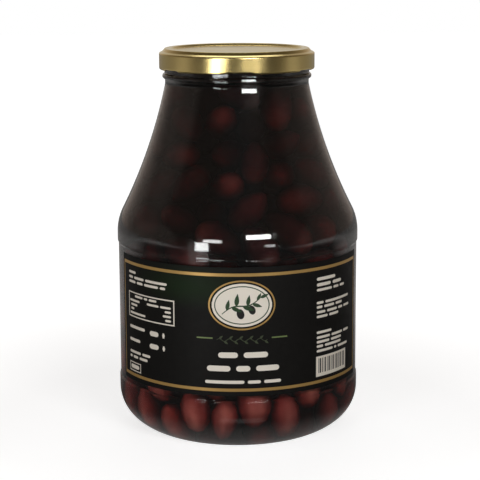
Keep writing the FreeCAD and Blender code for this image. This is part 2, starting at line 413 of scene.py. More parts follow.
def new_group(name, inputs, outputs):
    """An empty shader group with named sockets, what it is given, and its end node."""
    tree = bpy.data.node_groups.new(name, "ShaderNodeTree")
    for label, kind, value in inputs:
        made = tree.interface.new_socket(label, in_out="INPUT", socket_type="NodeSocket" + kind)
        made.default_value = value
    for label, kind in outputs:
        tree.interface.new_socket(label, in_out="OUTPUT", socket_type="NodeSocket" + kind)
    print("group", name, [s.name for s in tree.interface.items_tree])
    return tree, tree.nodes.new("NodeGroupInput").outputs, tree.nodes.new("NodeGroupOutput")


def new_material(name, values=None):
    """A material with a Principled shader, given what is the same all over, wired to its output."""
    material = bpy.data.materials.new(name)
    material.use_nodes = True
    tree = material.node_tree
    shader = tree.nodes["Principled BSDF"]
    feed(tree, shader, values or {})
    return material, tree, shader, tree.nodes["Material Output"]


# %% [markdown]
# ## Shared effects
#
# Three effects come back in several finishes, so each is a node group with named sockets.
# Waviness is the slow swell of blown glass and pressed sheet, uneven gloss is the handling that
# no surface escapes, and mottling drifts one colour towards another. A group only puts out
# heights, values and colours. The shaders stay in the materials, where the exporter reads them.

# %% Waviness
waviness, given, out = new_group(
    "Waviness",
    [("Scale", "Float", 20.0), ("Upright", "Float", 0.4)],
    [("Height", "Float")],
)
stretch = add_node(waviness, "CombineXYZ", {"X": 1.0, "Y": 1.0, "Z": given["Upright"]})
factors = {0: here(waviness), 1: stretch.outputs["Vector"]}
drawn = add_node(waviness, "VectorMath", factors, operation="MULTIPLY")
feed(waviness, out, {"Height": noise(waviness, drawn.outputs["Vector"], given["Scale"], 1.0, 0.4)})

# %% Uneven gloss
uneven_gloss, given, out = new_group(
    "Uneven gloss",
    [("Least", "Float", 0.2), ("Most", "Float", 0.4), ("Scale", "Float", 60.0)],
    [("Roughness", "Float")],
)
cloud = noise(uneven_gloss, here(uneven_gloss), given["Scale"], 3.0, 0.55)
spread = ease(uneven_gloss, cloud, 0.3, 0.7, given["Least"], given["Most"])
feed(uneven_gloss, out, {"Roughness": spread})

# %% Mottling
mottling, given, out = new_group(
    "Mottling",
    [
        ("Main", "Color", (0.1, 0.1, 0.1, 1)),
        ("Other", "Color", (0.2, 0.2, 0.2, 1)),
        ("Scale", "Float", 100.0),
    ],
    [("Color", "Color")],
)
patches = ease(mottling, noise(mottling, here(mottling), given["Scale"], 4.0, 0.6), 0.35, 0.68)
feed(mottling, out, {"Color": blended(mottling, patches, given["Main"], given["Other"])})

# %% The effects in a material


def effect(tree, group, values):
    """The result of a shared effect with values of its own."""
    return add_node(tree, "Group", values, node_tree=group).outputs[0]


def wavy(tree, scale, upright, strength, distance):
    """A shader's normal, bent by the Waviness group."""
    height = effect(tree, waviness, {"Scale": scale, "Upright": upright})
    bump = add_node(tree, "Bump", {"Height": height, "Strength": strength, "Distance": distance})
    return bump.outputs["Normal"]


def uneven(tree, least, most, scale):
    """A roughness from the Uneven gloss group."""
    return effect(tree, uneven_gloss, {"Least": least, "Most": most, "Scale": scale})


def mottled(tree, main, other, scale):
    """A colour from the Mottling group."""
    return effect(tree, mottling, {"Main": (*main, 1), "Other": (*other, 1), "Scale": scale})


# %% [markdown]
# ## Clear glass
#
# Flint glass is nearly colourless, with a swell left by the mould that makes reflections waver.
# Light for the olives has to come in through it. Tracing that light through bent paths would
# take very long, so for shadow rays the wall is plainly see-through, and only what the eye
# follows is bent.

# %% Glass material
GLASS_TINT = (0.97, 0.985, 0.975, 1)
WHITE = (1, 1, 1, 1)


def clear_to_light(tree, shader, output, tint):
    """Shadow rays pass straight through a see-through shader, a little tinted."""
    path = add_node(tree, "LightPath")
    thin = add_node(tree, "BsdfTransparent", {"Color": tint})
    surface = mixed(tree, path.outputs["Is Shadow Ray"], shader.outputs["BSDF"], thin.outputs["BSDF"])
    feed(tree, output, {"Surface": surface})


glass_look = {"Base Color": GLASS_TINT, "Roughness": 0.0, "IOR": 1.52, "Transmission Weight": 1.0}
glass_material, tree, shader, output = new_material("jar glass", glass_look)
feed(tree, shader, {"Normal": wavy(tree, 55.0, 0.35, 0.35, 0.0006)})
clear_to_light(tree, shader, output, GLASS_TINT)

piece("jar_glass_body", *turned(glass_line, 192, with_ridges), glass_material, "glass", "jar_glass")

# %% [markdown]
# ## Brine
#
# The brine takes its colour from the olives: red light passes, green and blue are soon gone. So
# the colour belongs to the depth of the liquid and not to its skin, which is what Volume
# Absorption does. Its skin lies a little inside the glass. If it stopped short, a film of air
# would shine between the two, and at the same place both surfaces would flicker.

# %% Brine
INTO_WALL, LEVEL_ROUND = 0.15, 0.8
skin = inside_line(WALL - INTO_WALL)
level = rounded([skin[-1], [skin[-1, 0], FILL_LEVEL], [0, FILL_LEVEL]], [LEVEL_ROUND])[1:]
brine_line = np.vstack([skin, level])

brine_look = {
    "Base Color": WHITE,
    "Roughness": 0.06,
    "IOR": 1.34,
    "Specular IOR Level": 0.0,
    "Transmission Weight": 1.0,
}
brine_material, tree, shader, output = new_material("red-brown brine", brine_look)
clear_to_light(tree, shader, output, WHITE)
depth = add_node(tree, "VolumeAbsorption", {"Color": (0.56, 0.15, 0.18, 1), "Density": 255.0})
feed(tree, output, {"Volume": depth.outputs["Volume"]})

piece("brine", *turned(brine_line, 144), brine_material, "olives", "olives_in_brine")

# %% [markdown]
# ## The cap
#
# A twist-off cap is pressed from lacquered sheet: a sunk panel, a ridge over the rim, a step
# down and a skirt, whose edge is rolled inwards. At six places that roll is squeezed flat into a
# lug, which catches under a ridge of the glass. The roll and the lug are two sections with as
# many points each, so that the one can pass smoothly into the other round the cap.

# %% Cap
CAP_SHEET, PANEL_DEPTH, STEP_DEPTH, SHOULDER_DEPTH = 0.3, 1.2, 1.7, 2.7
CURL, CAP_CORNER, JOIN, STEP_REACH, CROWN_COVER = 1.1, 0.9, CAP_BOTTOM + 3.2, 1.4, 0.3
SECTION_POINTS = 46
crown_inside = MOUTH_RADIUS - CROWN_COVER
crown_outside = FINISH_RADIUS - CROWN_COVER


def spaced(points, count):
    """A line's points again, count of them, evenly spaced along it."""
    points = np.asarray(points, float)
    run = np.concatenate([[0], np.cumsum(np.linalg.norm(np.diff(points, axis=0), axis=1))])
    at = np.linspace(0, run[-1], count)
    return np.column_stack([np.interp(at, run, points[:, k]) for k in (0, 1)])


crown = rounded(
    [
        [CAP_RADIUS, JOIN],
        [CAP_RADIUS, CAP_TOP - SHOULDER_DEPTH],
        [crown_outside + STEP_REACH, CAP_TOP - STEP_DEPTH],
        [crown_outside, CAP_TOP],
        [crown_inside, CAP_TOP],
        [crown_inside - PANEL_DEPTH, CAP_TOP - PANEL_DEPTH],
        [0, CAP_TOP - PANEL_DEPTH],
    ],
    [CAP_CORNER] * 5,
)
under = (crown + left_normals(crown) * CAP_SHEET)[::-1]
under[0, 0] = 0
sheet_inside = CAP_RADIUS - CAP_SHEET
roll_centre = np.array([CAP_RADIUS - CURL, CAP_BOTTOM + CURL])
meets = math.degrees(math.acos((sheet_inside - roll_centre[0]) / CURL))
roll = arc_points(roll_centre, CURL, meets, 360, 32)
roll = spaced(np.vstack([[sheet_inside, JOIN], roll, [CAP_RADIUS, JOIN]]), SECTION_POINTS)[1:-1]
half = LUG_THICK / 2
low = CAP_BOTTOM + LUG_RAISE
nose = arc_points([FINISH_RADIUS + LUG_ROOM + half, low + half], half, 90, 270, 12)
toe = arc_points([CAP_RADIUS - half, low + half], half, -90, 0, 8)
lug_back = [[sheet_inside, JOIN], [sheet_inside, low + LUG_THICK]]
lug = spaced(np.vstack([*lug_back, nose, toe, [CAP_RADIUS, JOIN]]), SECTION_POINTS)[1:-1]
cap_line = np.vstack([under, roll, crown])


def with_lugs(radius, height, angle):
    """The rolled edge's rows go over to the lug's section within half a lug's width of its middle."""
    apart = abs(from_nearest_sixth(angle)) * CAP_RADIUS
    share = np.clip((LUG_WIDTH / 2 + LUG_FADE / 2 - apart) / LUG_FADE, 0, 1)
    share = share * share * (3 - 2 * share)
    rows = slice(len(under) - 1, len(under) - 1 + len(roll))
    radius[rows] += share[rows] * (lug - roll)[:, :1]
    height[rows] += share[rows] * (lug - roll)[:, 1:]
    return radius, height


cap_look = {
    "Base Color": (0.88, 0.69, 0.28, 1),
    "Metallic": 1.0,
    "Coat Weight": 0.12,
    "Coat Roughness": 0.12,
}
cap_material, tree, shader, output = new_material("gold lacquer on tinplate", cap_look)
gloss, normal = uneven(tree, 0.19, 0.25, 90.0), wavy(tree, 70.0, 0.5, 0.3, 0.0004)
feed(tree, shader, {"Roughness": gloss, "Normal": normal})

piece("twist_off_cap", *turned(cap_line, 288, with_lugs), cap_material, "gold_lacquer", "lid")

# %% [markdown]
# ## Olives
#
# In the jar the olives touch but hardly pass through each other, and those at the wall lie
# against it. Such a heap can't be scattered at random, so it is relaxed: every olive starts
# small, stands for three balls along its length, and grows while overlapping balls push each
# other apart and the wall pushes them back in. All balls are handled as whole arrays.

# %% Pack the olives
OLIVES, SEED = 338, 11
HALF_WIDTH, HALF_LENGTH, BALL_OFFSET, END_BALL = 9.0, 13.4, 5.6, 7.6
LEAST_ROOM, MORE_ROOM, ROOM_FROM, ROOM_OVER = 0.3, 3.4, 90, 45
TRIES, CLEAR_OF_ENDS, NEIGHBOURS_EVERY, NEIGHBOUR_ROOM = 9000, 10, 8, 5
START_SIZE, SETTLING, SINKING, TO_THE_WALL = 0.62, 0.6, 0.05, 0.004
PUSH_GAIN, TURN_GAIN = 1.1, 0.7
BOTTOM_ROWS, STEEP, USUAL = 62, 4.0, 1.3
NOT_ZERO = 1e-9
rng = np.random.default_rng(SEED)
wall_points = spaced(inside, 420)
wall_normals = left_normals(wall_points)


def wall_room(height):
    """Brine kept between the glass and the olives: little at the bottom, more round the shoulder."""
    rise = np.clip((height - ROOM_FROM) / ROOM_OVER, 0, 1)
    return LEAST_ROOM + MORE_ROOM * rise * rise * (3 - 2 * rise)


def starting_places(count):
    """Random points inside the jar, as many in each part of its volume.

    A height is kept with a chance that goes with the jar's cross section there, and the distance
    from the axis is the reach times the root of a random share.
    """
    lowest, highest = wall_points[0, 1] + CLEAR_OF_ENDS, FILL_LEVEL - CLEAR_OF_ENDS
    heights = rng.uniform(lowest, highest, TRIES)
    radii = np.interp(heights, *wall_points[wall_points[:, 1].argmin():, ::-1].T) - HALF_WIDTH
    kept = rng.uniform(0, BODY_RADIUS ** 2, TRIES) < radii ** 2
    heights, radii = heights[kept][:count], radii[kept][:count]
    turn = rng.uniform(0, 2 * math.pi, count)
    out = radii * np.sqrt(rng.uniform(0, 1, count))
    return np.column_stack([out * np.cos(turn), out * np.sin(turn), heights])


def relax(places, axes, sizes, rounds):
    """Balls that overlap push apart along the line between them, and each olive follows its balls.

    Each olive has three balls, at -offset, 0 and +offset along its axis. A push p on the ball at
    offset d moves the middle by p / 3 and tips the axis by p * d / (2 * offset squared). While the
    heap settles, it sinks a little, and the bottom rows drift to the wall.
    """
    count = len(places)
    offsets = sizes[:, None] * BALL_OFFSET * np.array([-1, 0, 1])
    full = sizes[:, None] * np.array([END_BALL, HALF_WIDTH, END_BALL])
    owner = np.repeat(np.arange(count), 3)
    for step in range(rounds):
        settles = step < rounds * SETTLING
        grown = (START_SIZE + (1 - START_SIZE) * min(1, step / (rounds * 0.5))) * full.ravel()
        balls = (places[:, None] + axes[:, None] * offsets[:, :, None]).reshape(-1, 3)
        if step % NEIGHBOURS_EVERY == 0:
            apart = np.linalg.norm(balls[:, None] - balls[None], axis=2)
            close = apart < full.ravel()[:, None] + full.ravel() + NEIGHBOUR_ROOM
            first, second = np.nonzero(close & (owner[:, None] < owner))
        line = balls[first] - balls[second]
        gap = np.linalg.norm(line, axis=1) + NOT_ZERO
        overlap = np.clip(grown[first] + grown[second] - gap, 0, None)
        shove = line / gap[:, None] * (overlap * 0.5)[:, None]
        push = np.zeros_like(balls)
        for k in range(3):
            push[:, k] = np.bincount(first, shove[:, k], len(balls))
            push[:, k] -= np.bincount(second, shove[:, k], len(balls))
        out = np.hypot(balls[:, 0], balls[:, 1]) + NOT_ZERO
        flat = np.column_stack([out, balls[:, 2]])
        nearest = ((flat[:, None] - wall_points[None]) ** 2).sum(2).argmin(1)
        normal = wall_normals[nearest]
        inside_by = ((flat - wall_points[nearest]) * normal).sum(1)
        back = np.clip(grown + wall_room(balls[:, 2]) - inside_by, 0, None)
        push[:, 0] += back * normal[:, 0] * balls[:, 0] / out
        push[:, 1] += back * normal[:, 0] * balls[:, 1] / out
        push[:, 2] += back * normal[:, 1]
        push[:, 2] -= np.clip(balls[:, 2] + grown - FILL_LEVEL + 1, 0, None)
        push = push.reshape(count, 3, 3)
        places = places + push.mean(1) * PUSH_GAIN
        places[:, 2] -= SINKING * settles
        places[:, :2] *= 1 + TO_THE_WALL * (places[:, 2:] < BOTTOM_ROWS) * settles
        turn = (push * offsets[:, :, None]).sum(1) / (2 * (sizes[:, None] * BALL_OFFSET) ** 2)
        axes = normed(axes + turn * TURN_GAIN)
    return places, axes, overlap[overlap > 0]


sizes = rng.normal(1, 0.055, OLIVES).clip(0.86, 1.13)
places = starting_places(OLIVES)
upright = np.where(places[:, 2] < BOTTOM_ROWS, STEEP, USUAL)
axes = normed(rng.normal(0, 1, (OLIVES, 3)) * np.column_stack([np.ones((OLIVES, 2)), upright]))
places, axes, overlaps = relax(places, axes, sizes, 260)
print(OLIVES, "olives, 95% of the overlaps under", round(float(np.percentile(overlaps, 95)), 2), "mm")

# %% Olive shape
TIP, TIP_FROM, DIMPLE_AT, TIP_AT = 0.05, 0.8, -0.965, 1.045
BEND, BEND_SHIFT = 0.7, 0.4


def almond(rows):
    """An olive's profile, with its length upright from -1 to 1.

    At height t the radius is the root of (1 - t squared), times (1 - 0.10 t - 0.07 t squared), so
    that it is widest a little before its middle. The rows stand closer together towards the ends,
    which keeps them round. The top draws out into a small tip, and the stem's end is a dimple.
    """
    share = np.linspace(0, 1, rows + 2)[1:-1]
    t = -np.cos(math.pi * (share / 2 + (1 - np.cos(math.pi * share)) / 4))
    radius = np.sqrt(1 - t * t) * (1 - 0.10 * t - 0.07 * t * t)
    height = t + TIP * np.clip(t - TIP_FROM, 0, None) / (1 - TIP_FROM)
    return np.vstack([[0, DIMPLE_AT], np.column_stack([radius, height]), [0, TIP_AT]])


unit, blocks = turned(almond(6), 9)
side = normed(np.cross(axes, rng.normal(0, 1, (OLIVES, 3))))
third = np.cross(axes, side)
long = HALF_LENGTH * sizes * rng.normal(1, 0.03, OLIVES)
wide = HALF_WIDTH * sizes
bent = BEND * (unit[:, 2] ** 2 - BEND_SHIFT) - unit[:, 1] * wide[:, None]
points = places[:, None] + axes[:, None] * (unit[:, 2] * long[:, None])[..., None]
points = points + side[:, None] * bent[..., None]
points = points + third[:, None] * (unit[:, 0] * wide[:, None])[..., None]
start = (np.arange(OLIVES) * len(unit))[:, None, None]
faces = [(block[None] + start).reshape(-1, block.shape[1]) for block in blocks]
print("one olive has", sum(len(block) for block in blocks), "faces")

# %% [markdown]
# ## Olive skin
#
# Ripe kalamatas run from red-brown to nearly black in the same jar, and each is a little paler
# towards its stem. Each olive has a random tone, and the bottom rows are painted paler on top of
# it: painted light that stands in for the light the white table throws up into the heel, which
# leaves the upper rows darker as painted shade. That tone and the place along the olive are kept
# as attributes of the mesh, where the material reads them. The brine takes the shine off, so the
# skin is nearly matt.

# %% Olive material
DARKEST, PALEST, PALER_END = (0.018, 0.007, 0.008, 1), (0.38, 0.145, 0.10, 1), (0.30, 0.13, 0.09, 1)
BETWEEN = {0.35: (0.070, 0.020, 0.019, 1), 0.7: (0.24, 0.070, 0.056, 1)}
skin_look = {"Roughness": 0.6, "Specular IOR Level": 0.0}
olive_material, tree, shader, output = new_material("olive skin", skin_look)
# The attribute holds each olive's random tone plus the painted light of the bottom rows.
tone_and_painted_light = add_node(tree, "Attribute", attribute_name="tone_and_painted_light")
along = add_node(tree, "Attribute", attribute_name="along")
ramp = add_node(tree, "ValToRGB", {"Fac": tone_and_painted_light.outputs["Fac"]})
stops = ramp.color_ramp.elements
stops[0].color, stops[1].color = DARKEST, PALEST
for position, colour in BETWEEN.items():
    stops.new(position).color = colour
spots = mottled(tree, (0.86, 0.84, 0.84), (1.12, 1.14, 1.12), 150.0)
drift = blended(tree, 1.0, ramp.outputs["Color"], spots, "MULTIPLY")
to_stem = ease(tree, along.outputs["Fac"], -0.2, -1.0, 0.0, 0.25)
feed(tree, shader, {"Base Color": blended(tree, to_stem, drift, PALER_END)})

TONE_SPREAD, LOW_PAINTED_LIGHT, PAINTED_SHADE_FROM, PAINTED_SHADE_OVER = 0.37, 0.58, 60, 60
olives = piece("olives", points.reshape(-1, 3), faces, olive_material, "olives", "olives_in_brine")
tone_and_painted_light_layer = olives.data.attributes.new("tone_and_painted_light", "FLOAT", "POINT")
# Painted light: olives below 60 mm are made paler, and those above 120 mm keep their darker tone as painted
# shade.
painted_shade_share = np.clip((places[:, 2] - PAINTED_SHADE_FROM) / PAINTED_SHADE_OVER, 0, 1)
olive_tone_and_painted_light = rng.beta(1.4, 1.9, OLIVES) * TONE_SPREAD + LOW_PAINTED_LIGHT * (1 - painted_shade_share)
olive_tone_and_painted_light = np.repeat(np.clip(olive_tone_and_painted_light, 0, 1), len(unit))
tone_and_painted_light_layer.data.foreach_set("value", olive_tone_and_painted_light.astype(np.float32))
places_along = olives.data.attributes.new("along", "FLOAT", "POINT")
places_along.data.foreach_set("value", np.tile(unit[:, 2], OLIVES).astype(np.float32))

# %% [markdown]
# ## Label and print
#
# The paper is a thin plate bent round the jar, and so is each printed shape, a few hundredths of
# a millimetre high. A shape is a grid of points on the flat label, millimetres across from its
# middle and up from its lower edge, and the bend comes last. Words become bars as long as a word.

# %% Thin plates bent round the jar


def plates(across, up, low, high):
    """Closed plates from grids of points on the flat label, each stack x rows x columns.

    A point lies at the angle across / label radius round the jar. Rows go up and columns go
    across, and each plate reaches from low to high in millimetres over the paper.
    """
    count, rows, columns = across.shape
    angle = across[:, None] / LABEL_RADIUS
    radius = LABEL_RADIUS + np.array([low, high])[None, :, None, None]
    height = LABEL_BOTTOM + up[:, None]
    grid = np.broadcast_arrays(radius * np.sin(angle), -radius * np.cos(angle), height)
    grid = np.stack(grid, -1)
    top = grid_faces(rows, columns, False)
    index = np.arange(rows * columns).reshape(rows, columns)
    loop = np.concatenate([index[0, :-1], index[:-1, -1], index[-1, :0:-1], index[:0:-1, 0]])
    after = np.roll(loop, -1)
    size = rows * columns
    walls = np.column_stack([loop, after, after + size, loop + size])
    one = np.vstack([top[:, ::-1], top + size, walls])
    start = (np.arange(count) * 2 * size)[:, None, None]
    return grid.reshape(-1, 3), (one[None] + start).reshape(-1, 4)


def joined(parts):
    """Several (points, faces) as one."""
    starts = np.cumsum([0] + [len(points) for points, _ in parts])
    faces = [block + start for (_, block), start in zip(parts, starts)]
    return np.vstack([points for points, _ in parts]), np.vstack(faces)


def between(lower, upper, rows=2):
    """A grid that fills the space from a lower line up to an upper one with as many points."""
    share = np.linspace(0, 1, rows)[:, None, None]
    return np.moveaxis(lower * (1 - share) + upper * share, -1, 0)


def bars(lines):
    """Plates for lines of left, right, bottom, top, with straight sides and round ends."""
    left, right, bottom, top = np.vstack(lines).T[:, :, None]
    half = (top - bottom) / 2
    turn = np.radians([10, 30, 55, 90])
    into = half * (1 - np.cos(turn))
    straight = np.linspace(0, 1, 9)[1:-1]
    inner = (left + half) + (right - left - 2 * half) * straight
    along = np.concatenate([left + into, inner, right - into[:, ::-1]], 1)
    ends = np.sin(turn)
    height = half * np.concatenate([ends, np.ones(len(straight)), ends[::-1]])
    middle = (bottom + top) / 2
    return plates(np.stack([along, along], 1), np.stack([middle - height, middle + height], 1), *INK)


def plate(grid, layer):
    """One plate from a grid, reaching over a layer's two heights."""
    return plates(grid[0][None], grid[1][None], *layer)


def box(left, right, bottom, top, layer, columns=2):
    """One plain rectangle on the label."""
    return plate(np.meshgrid(np.linspace(left, right, columns), [bottom, top]), layer)


def printed(name, ink, *parts):
    """Everything that one ink prints in one piece."""
    return piece(name, *joined(parts), ink, "label_paper", smooth=False)


PAPER, HALF_LABEL = 0.15, 90.5
paper = box(-HALF_LABEL, HALF_LABEL, 0, LABEL_TOP - LABEL_BOTTOM, (-PAPER, 0), 122)

# %% Label paper
GLOW_MIDDLE, GLOW_REACH = (-0.030, -0.064, 0.101), (0.040, 0.200, 0.016)
paper_material, tree, shader, output = new_material("dark label paper", {"Specular IOR Level": 0.12})
ground = mottled(tree, (0.0085, 0.0080, 0.0075), (0.010, 0.0095, 0.0085), 260.0)
values = {"Vector": here(tree), "Location": GLOW_MIDDLE, "Scale": GLOW_REACH}
glow_place = add_node(tree, "Mapping", values, vector_type="TEXTURE")
fade = ease(tree, length(tree, glow_place.outputs["Vector"]), 0.0, 1.0, 1.0, 0.0, "SMOOTHSTEP")
paper_colour = blended(tree, fade, ground, (0.0105, 0.0215, 0.0080, 1))
feed(tree, shader, {"Base Color": paper_colour, "Roughness": uneven(tree, 0.46, 0.56, 220.0)})
piece("label_paper", *paper, paper_material, "label_paper", "label", smooth=False)

# %% Print colours


def ink(name, colour, least=0.4, most=0.5, metallic=0.0):
    """One printing ink: a colour, a band of gloss, and metal flakes or none."""
    material, tree, shader, _ = new_material(name, {"Base Color": (*colour, 1), "Metallic": metallic})
    feed(tree, shader, {"Roughness": uneven(tree, least, most, 300.0)})
    return material


cream = ink("cream ink", (0.86, 0.80, 0.70))
gold_ink = ink("gold bronze ink", (0.60, 0.37, 0.12), 0.34, 0.44, 0.5)
green_ink = ink("dull green ink", (0.045, 0.060, 0.026))
light_green = ink("light green ink", (0.16, 0.22, 0.075))
INK = (-0.02, 0.045)
LAYER = (0.03, 0.08)
OVER_CREAM = (0.03, 0.075)

# %% Gold border
EDGE, SIDE, LOW, HIGH, LINE = 88.6, 0.8, 2.8, 70.3, 1.8
printed(
    "label_gold_border",
    gold_ink,
    box(-EDGE, EDGE, HIGH, HIGH + LINE, INK, 120),
    box(-EDGE, EDGE, LOW, LOW + LINE, INK, 120),
    box(-EDGE, SIDE - EDGE, LOW + LINE, HIGH, INK),
    box(EDGE - SIDE, EDGE, LOW + LINE, HIGH, INK),
)

# %% Headlines


def words(left, right, middle, high, *shares):
    """Boxes of one line of words between left and right, with gaps one bar high.

    shares are the words' shares of the line's length.
    """
    shares = np.asarray(shares, float)
    room = right - left - high * (len(shares) - 1)
    lengths = shares / shares.sum() * room
    starts = left + np.concatenate([[0], np.cumsum(lengths[:-1] + high)])
    low, top = np.full((2, len(shares)), middle) + np.array([[-high / 2], [high / 2]])
    return np.column_stack([starts, starts + lengths, low, top])


HEADLINES = [
    (-14.4, 14.4, 24.4, 3.3, 4, 5),
    (-21.0, 21.0, 16.4, 3.3, 5, 3, 5),
    (-22.2, 22.2, 8.4, 1.9, 9, 3, 4),
]
printed("label_headlines", cream, bars([words(*line) for line in HEADLINES]))

# %% Small print in two columns
SMALL_PRINT = [
    (-81.5, -73.3, 66.0, 1.5, 1),
    (-81.5, -46.3, 63.0, 1.5, 2, 4, 7),
    (-81.5, -47.5, 60.3, 1.5, 4, 3, 6, 2),
    (-74.5, -54.3, 51.9, 1.3, 5, 2, 4),
    (-80.6, -69.5, 49.1, 1.3, 1),
    (-62.5, -43.6, 49.2, 1.3, 5, 4),
    (-79.2, -72.0, 46.6, 1.3, 1),
    (-48.0, -43.6, 46.7, 1.3, 1),
    (-79.2, -75.6, 44.2, 1.3, 1),
    (-49.5, -43.6, 44.1, 1.3, 1),
    (-80.4, -64.0, 41.6, 1.3, 1),
    (-47.7, -43.6, 41.6, 1.3, 1),
    (-81.3, -64.7, 33.0, 1.8, 1),
    (-60.2, -48.3, 32.3, 3.0, 4, 1),
    (-81.5, -69.5, 25.2, 1.8, 1),
    (-60.4, -48.1, 24.6, 3.0, 4, 1),
    (-81.4, -60.1, 17.8, 1.6, 5, 3),
    (-81.5, -62.6, 14.9, 1.6, 1, 2, 3),
    (-80.4, -71.0, 8.7, 2.4, 1),
    (46.4, 62.4, 65.0, 1.9, 1),
    (46.4, 68.7, 61.6, 1.9, 4, 3),
    (46.4, 72.5, 58.5, 1.5, 5, 2, 2),
    (46.4, 78.2, 50.9, 1.5, 2, 9),
    (46.4, 69.8, 48.3, 1.5, 2, 4, 3),
    (46.4, 79.0, 45.3, 1.5, 3, 4, 2, 3),
    (46.4, 65.9, 42.6, 1.5, 3, 3),
    (46.5, 59.0, 33.2, 1.5, 1),
    (46.5, 78.7, 30.2, 1.5, 5, 5, 3),
    (46.5, 69.2, 27.5, 1.5, 4, 4),
    (46.5, 68.8, 24.9, 1.5, 2, 6),
    (46.5, 77.1, 22.1, 1.5, 6, 1, 5),
]
printed("label_small_print", cream, bars([words(*line) for line in SMALL_PRINT]))


def outline(left, right, bottom, top, line):
    """Four thin rectangles round a field."""
    return [
        box(left, right, top - line, top, INK, 24),
        box(left, right, bottom, bottom + line, INK, 24),
        box(left, left + line, bottom + line, top - line, INK),
        box(right - line, right, bottom + line, top - line, INK),
    ]


fields = outline(-82.2, -41.2, 39.0, 54.2, 0.75) + outline(-82.0, -69.2, 5.9, 11.5, 0.55)
printed("label_fields", cream, *fields, box(46.1, 74.9, 6.7, 18.9, INK, 24))

# %% Stripes on the pale field
STRIPES, FIRST_STRIPE = 17, 48.0
black_ink = ink("black ink", (0.012, 0.011, 0.010))
pitch = np.tile([1.1, 1.9, 1.4, 1.0, 2.2], 4)[:STRIPES]
left = FIRST_STRIPE + np.concatenate([[0], np.cumsum(pitch[:-1])])
thick = np.tile([0.55, 1.0, 0.55, 0.4, 0.9], 4)[:STRIPES]
stripes = [box(a, a + w, 8.8, 17.6, OVER_CREAM) for a, w in zip(left, thick)]
printed("label_stripes", black_ink, *stripes)
print(len(stripes), "stripes up to", round(float(left[-1] + thick[-1]), 1), "mm")

# %% [markdown]
# ## The medallion and the vine
#
# The round mark is a plain oval with an olive sprig, and below it a small vine runs between two
# dashes. Leaves and fruits are the same patch with another half width along it, so each kind is
# one stack of plates. Each layer of ink starts inside the one below it, and none of them floats.

# %% Ovals, leaves and stems


def ring(centre, outer, inner, steps=73):
    """A flat ring between two ovals with the given half widths and heights."""
    turn = np.linspace(0, -2 * math.pi, steps)
    round_line = np.column_stack([np.cos(turn), np.sin(turn)])
    return between(round_line * inner + centre, round_line * outer + centre)


def blades(rows, half_width, steps=11):
    """Leaf-like patches from rows of x, y, turn in degrees, length and width.

    At share t of its length a blade is width * half_width(t) wide to each side of its middle line.
    """
    x, y, turn, length, width = np.asarray(rows, float).T[:, :, None]
    t = np.linspace(0.015, 0.985, steps)
    along, side = length * t, width * half_width(t)
    turn = np.radians(turn)
    edges = [(along, -side), (along, side)]
    across = np.stack([x + a * np.cos(turn) - b * np.sin(turn) for a, b in edges], 1)
    up = np.stack([y + a * np.sin(turn) + b * np.cos(turn) for a, b in edges], 1)
    return across, up


def leaf_width(t):
    """Half a leaf's width: widest before its middle, with a drawn-out tip."""
    return 0.5 * np.sin(math.pi * t ** 0.8) ** 0.9 * (1.1 - 0.25 * t)


def fruit_width(t):
    """Half a fruit's width: an oval."""
    return np.sqrt(np.clip(t * (1 - t), 0, None))


def stroke(path, width):
    """A line of ink along a path, which tapers a little to its ends."""
    taper = (0.55 + 0.45 * np.sin(np.linspace(0.1, 3.04, len(path))))[:, None] * width / 2
    reach = left_normals(path) * taper
    return between(path - reach, path + reach)


# %% Medallion
MIDDLE = np.array([-0.6, 53.6])
DISC, GOLD_RING, GREEN_RING = (17.4, 12.6), ((19.4, 14.5), (18.5, 13.6)), ((15.9, 11.2), (15.3, 10.6))
half = np.linspace(-0.995, 0.995, 41)
bow = np.sqrt(1 - half ** 2)
lower = MIDDLE + np.column_stack([half * DISC[0], -bow * DISC[1]])
upper = MIDDLE + np.column_stack([half * DISC[0], bow * DISC[1]])
printed("label_medallion", cream, plate(between(lower, upper), INK))
printed("label_medallion_ring", gold_ink, plate(ring(MIDDLE, *np.array(GOLD_RING)), INK))

# %% Sprig
leaf_green = ink("leaf green ink", (0.022, 0.060, 0.020))
t = np.linspace(0, 1, 25)
stem = MIDDLE + np.column_stack([-11.5 + 22 * t, -5.2 + 9.4 * t + 1.6 * np.sin(2 * math.pi * t)])
at = np.array([3, 6, 9, 13, 16, 19, 22])
turns = np.array([78, -24, 84, -22, 80, -18, 62])
lengths = np.array([6.4, 6.6, 7.4, 7.2, 6.4, 6.0, 5.0])
leaf_rows = np.column_stack([stem[at], turns, lengths, lengths * 0.36])
leaf_rows = np.vstack([leaf_rows, [*stem[-1], 22, 5.4, 1.9]])
printed(
    "label_sprig",
    leaf_green,
    plate(ring(MIDDLE, *np.array(GREEN_RING)), LAYER),
    plate(stroke(stem, 0.75), LAYER),
    plates(*blades(leaf_rows, leaf_width), *LAYER),
)
fruit_rows = [
    [MIDDLE[0] - 1.6, MIDDLE[1] - 2.2, -76, 6.0, 4.3],
    [MIDDLE[0] + 4.6, MIDDLE[1] - 0.2, -68, 5.6, 4.0],
]
printed("label_sprig_fruit", black_ink, plates(*blades(fruit_rows, fruit_width), *LAYER))

# %% Vine between two dashes
t = np.linspace(0, 1, 121)
vine_line = np.column_stack([-15.2 + 29.2 * t, 33.3 + 0.75 * np.sin(t * 5 * 2 * math.pi)])
at = np.arange(6, 120, 12)
up_or_down = np.where(np.arange(len(at)) % 2 == 0, 1, -1)
leaf_size = np.tile([2.7, 1.25], (len(at), 1))
vine_leaves = np.column_stack([vine_line[at], 38.0 * up_or_down, leaf_size])
vine_parts = [plate(stroke(vine_line, 0.42), INK), plates(*blades(vine_leaves, leaf_width), *INK)]
printed("label_vine", green_ink, *vine_parts)
ends = [(-27.0, -17.6), (16.6, 26.0)]
printed("label_dashes", light_green, *[box(*pair, 33.8, 34.6, INK, 8) for pair in ends])

